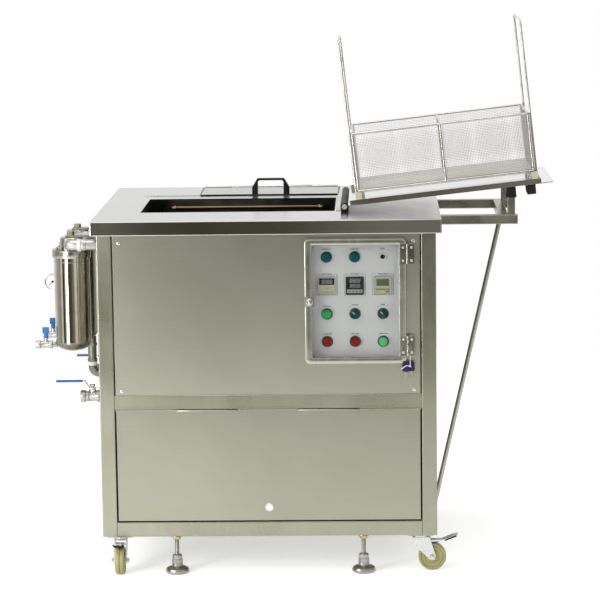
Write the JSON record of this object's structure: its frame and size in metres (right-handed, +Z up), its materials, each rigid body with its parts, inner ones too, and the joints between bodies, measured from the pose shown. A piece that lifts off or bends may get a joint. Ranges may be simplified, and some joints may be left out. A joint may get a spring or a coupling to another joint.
{
  "type": "ultrasonic parts washer tank",
  "caption": "Stainless ultrasonic parts washer on castors, with a lidded tank, drain-board lid, wire basket, windowed control recess and side filters.",
  "frame": {"origin": "on the floor, under the middle of the whole machine's bounding box", "axes": "+X to the right across the front, +Y from front to back, +Z up"},
  "size_m": [1.4006, 0.877, 1.4726],
  "materials": {
    "frame_steel": "satin stainless tube",
    "panel_steel": "smooth stainless sheet",
    "brushed_panel": "brushed stainless sheet",
    "wire_steel": "stainless wire",
    "control_plate_paint": "off-white smooth paint",
    "grey_paint": "light grey paint",
    "door_grey": "fine grain grey",
    "black_plastic": "satin black",
    "black_rubber": "matte",
    "clear_acrylic": "clear",
    "bright_metal": "polished stainless",
    "cast_aluminium": "as cast",
    "zinc": "bright zinc plate on steel",
    "nylon": "cream nylon",
    "needle_black": "matte black paint",
    "blue_plastic": "blue vinyl sleeve",
    "green_plastic": "gloss",
    "light_green_plastic": "gloss",
    "red_plastic": "gloss",
    "teal_plastic": "gloss"
  },
  "bodies": {
    "cabinet": {"cabinet_frame": "frame_steel", "cabinet_panels": "panel_steel", "deck_top": "panel_steel", "front_panel": "brushed_panel", "control_plate": "control_plate_paint", "lamps_and_bezels": "black_plastic", "panel_timers": "black_plastic", "temperature_controller": "black_plastic", "window_hinges": "bright_metal", "tank_liner": "panel_steel", "overflow_well": "panel_steel", "transducers": "cast_aluminium", "generator_box": "grey_paint", "circulation_pump": "cast_aluminium", "lid_hinge_base": "panel_steel", "lid_bracket": "frame_steel", "bracket_caps": "black_rubber", "bracket_brace": "frame_steel", "filter_heads": "bright_metal", "filter_bowls": "bright_metal", "filter_bracket": "frame_steel", "filter_pipework": "bright_metal", "pressure_gauge": "bright_metal", "valve_bodies": "bright_metal"},
    "lid": {"lid_panel": "panel_steel", "lid_handle": "black_plastic", "lid_hinge_barrel": "black_rubber"},
    "basket": {"basket_frame": "wire_steel", "basket_mesh": "wire_steel", "basket_handles": "wire_steel", "basket_feet": "nylon"},
    "rear_cover": {"rear_cover": "panel_steel", "rear_cover_handle": "black_plastic"},
    "window_door": {"window_frame": "door_grey", "window_pane": "clear_acrylic"},
    "window_latch": {"window_latch": "bright_metal"},
    "service_door": {"service_door": "brushed_panel"},
    "cam_lock": {"cam_lock": "bright_metal"},
    "start_button": {"start_button": "green_plastic"},
    "stop_button": {"stop_button": "red_plastic"},
    "heater_stop_button": {"heater_stop_button": "red_plastic"},
    "drain_button": {"drain_button": "light_green_plastic"},
    "heater_selector": {"heater_selector": "teal_plastic"},
    "pump_selector": {"pump_selector": "teal_plastic"},
    "lower_valve_lever": {"lower_valve_lever": "blue_plastic"},
    "upper_valve_lever": {"upper_valve_lever": "blue_plastic"},
    "front_drain_handle": {"front_drain_handle": "blue_plastic"},
    "rear_drain_handle": {"rear_drain_handle": "blue_plastic"},
    "gauge_needle": {"gauge_needle": "needle_black"},
    "levelling_feet": {"levelling_feet": "zinc"},
    "front_left_fork": {"front_left_fork": "zinc"},
    "front_left_wheel": {"front_left_wheel": "nylon"},
    "front_left_brake_pedal": {"front_left_brake_pedal": "zinc"},
    "front_right_fork": {"front_right_fork": "zinc"},
    "front_right_wheel": {"front_right_wheel": "nylon"},
    "front_right_brake_pedal": {"front_right_brake_pedal": "zinc"},
    "rear_left_fork": {"rear_left_fork": "zinc"},
    "rear_left_wheel": {"rear_left_wheel": "nylon"},
    "rear_right_fork": {"rear_right_fork": "zinc"},
    "rear_right_wheel": {"rear_right_wheel": "nylon"}
  },
  "joints": [
    {"name": "lid_hinge", "type": "hinge", "parent": "cabinet", "child": "lid", "pos_m": [0.13765, -0.0265, 0.9755], "axis": [0, -1, 0], "range_deg": [0, 173.8]},
    {"name": "basket_lift", "type": "slide", "parent": "cabinet", "child": "basket", "axis": [0, 0, 1], "range_m": [0, 1.891]},
    {"name": "rear_cover_hinge", "type": "hinge", "parent": "cabinet", "child": "rear_cover", "pos_m": [-0.08285, 0.424, 0.9632], "axis": [-1, 0, 0], "range_deg": [0, 95]},
    {"name": "window_door_hinge", "type": "hinge", "parent": "cabinet", "child": "window_door", "pos_m": [0.30345, -0.3883, 0.742], "axis": [0, 0, 1], "range_deg": [0, 105]},
    {"name": "window_latch_turn", "type": "hinge", "parent": "window_door", "child": "window_latch", "pos_m": [0.04466, -0.3868, 0.742], "axis": [0, 1, 0], "range_deg": [0, 90]},
    {"name": "service_door_hinge", "type": "hinge", "parent": "cabinet", "child": "service_door", "pos_m": [-0.07035, -0.3798, 0.449], "axis": [-1, 0, 0], "range_deg": [0, 90]},
    {"name": "cam_lock_turn", "type": "hinge", "parent": "service_door", "child": "cam_lock", "pos_m": [-0.07035, -0.3765, 0.184], "axis": [0, 1, 0], "range_deg": [0, 90]},
    {"name": "start_button_press", "type": "slide", "parent": "cabinet", "child": "start_button", "axis": [0, 1, 0], "range_m": [0, 0.0025], "stiffness_N_per_m": 600, "springref_m": -0.002},
    {"name": "stop_button_press", "type": "slide", "parent": "cabinet", "child": "stop_button", "axis": [0, 1, 0], "range_m": [0, 0.0025], "stiffness_N_per_m": 600, "springref_m": -0.002},
    {"name": "heater_stop_button_press", "type": "slide", "parent": "cabinet", "child": "heater_stop_button", "axis": [0, 1, 0], "range_m": [0, 0.0025], "stiffness_N_per_m": 600, "springref_m": -0.002},
    {"name": "drain_button_press", "type": "slide", "parent": "cabinet", "child": "drain_button", "axis": [0, 1, 0], "range_m": [0, 0.0025], "stiffness_N_per_m": 600, "springref_m": -0.002},
    {"name": "heater_selector_turn", "type": "hinge", "parent": "cabinet", "child": "heater_selector", "pos_m": [0.16415, -0.3545, 0.7045], "axis": [0, 1, 0], "range_deg": [0, 90]},
    {"name": "pump_selector_turn", "type": "hinge", "parent": "cabinet", "child": "pump_selector", "pos_m": [0.23866, -0.3545, 0.7045], "axis": [0, 1, 0], "range_deg": [0, 90]},
    {"name": "lower_valve_lever_turn", "type": "hinge", "parent": "cabinet", "child": "lower_valve_lever", "pos_m": [-0.55134, -0.2565, 0.468], "axis": [0, 0, 1], "range_deg": [0, 90]},
    {"name": "upper_valve_lever_turn", "type": "hinge", "parent": "cabinet", "child": "upper_valve_lever", "pos_m": [-0.54534, 0.0235, 0.49], "axis": [0, 0, 1], "range_deg": [0, 90]},
    {"name": "front_drain_handle_turn", "type": "hinge", "parent": "cabinet", "child": "front_drain_handle", "pos_m": [-0.67334, -0.2665, 0.613], "axis": [0, 0, 1], "range_deg": [0, 90]},
    {"name": "rear_drain_handle_turn", "type": "hinge", "parent": "cabinet", "child": "rear_drain_handle", "pos_m": [-0.67334, -0.1065, 0.613], "axis": [0, 0, 1], "range_deg": [0, 90]},
    {"name": "gauge_needle_turn", "type": "hinge", "parent": "cabinet", "child": "gauge_needle", "pos_m": [-0.66234, -0.1845, 0.772], "axis": [0, 1, 0], "range_deg": [0, 270]},
    {"name": "levelling_feet_screw", "type": "slide", "parent": "cabinet", "child": "levelling_feet", "axis": [0, 0, -1], "range_m": [0, 0.025]},
    {"name": "front_left_swivel", "type": "hinge", "parent": "cabinet", "child": "front_left_fork", "pos_m": [-0.47535, -0.3365, 0.09], "axis": [0, 0, 1], "continuous": true},
    {"name": "front_left_roll", "type": "hinge", "parent": "front_left_fork", "child": "front_left_wheel", "pos_m": [-0.47535, -0.3685, 0.0375], "axis": [1, 0, 0], "continuous": true},
    {"name": "front_left_brake_press", "type": "hinge", "parent": "front_left_fork", "child": "front_left_brake_pedal", "pos_m": [-0.47535, -0.3585, 0.081], "axis": [1, 0, 0], "range_deg": [0, 8]},
    {"name": "front_right_swivel", "type": "hinge", "parent": "cabinet", "child": "front_right_fork", "pos_m": [0.33465, -0.3365, 0.09], "axis": [0, 0, 1], "continuous": true},
    {"name": "front_right_roll", "type": "hinge", "parent": "front_right_fork", "child": "front_right_wheel", "pos_m": [0.36666, -0.3365, 0.0375], "axis": [0, 1, 0], "continuous": true},
    {"name": "front_right_brake_press", "type": "hinge", "parent": "front_right_fork", "child": "front_right_brake_pedal", "pos_m": [0.35665, -0.3365, 0.081], "axis": [0, 1, 0], "range_deg": [0, 8]},
    {"name": "rear_left_swivel", "type": "hinge", "parent": "cabinet", "child": "rear_left_fork", "pos_m": [-0.47535, 0.3785, 0.09], "axis": [0, 0, 1], "continuous": true},
    {"name": "rear_left_roll", "type": "hinge", "parent": "rear_left_fork", "child": "rear_left_wheel", "pos_m": [-0.50435, 0.36498, 0.0375], "axis": [0.4226, -0.9063, 0], "continuous": true},
    {"name": "rear_right_swivel", "type": "hinge", "parent": "cabinet", "child": "rear_right_fork", "pos_m": [0.33465, 0.3785, 0.09], "axis": [0, 0, 1], "continuous": true},
    {"name": "rear_right_roll", "type": "hinge", "parent": "rear_right_fork", "child": "rear_right_wheel", "pos_m": [0.35065, 0.35079, 0.0375], "axis": [0.866, 0.5, 0], "continuous": true}
  ],
  "couplings": [
    {"joint": "basket_lift", "follows": "lid_hinge", "m_per_rad": 0.62}
  ]
}
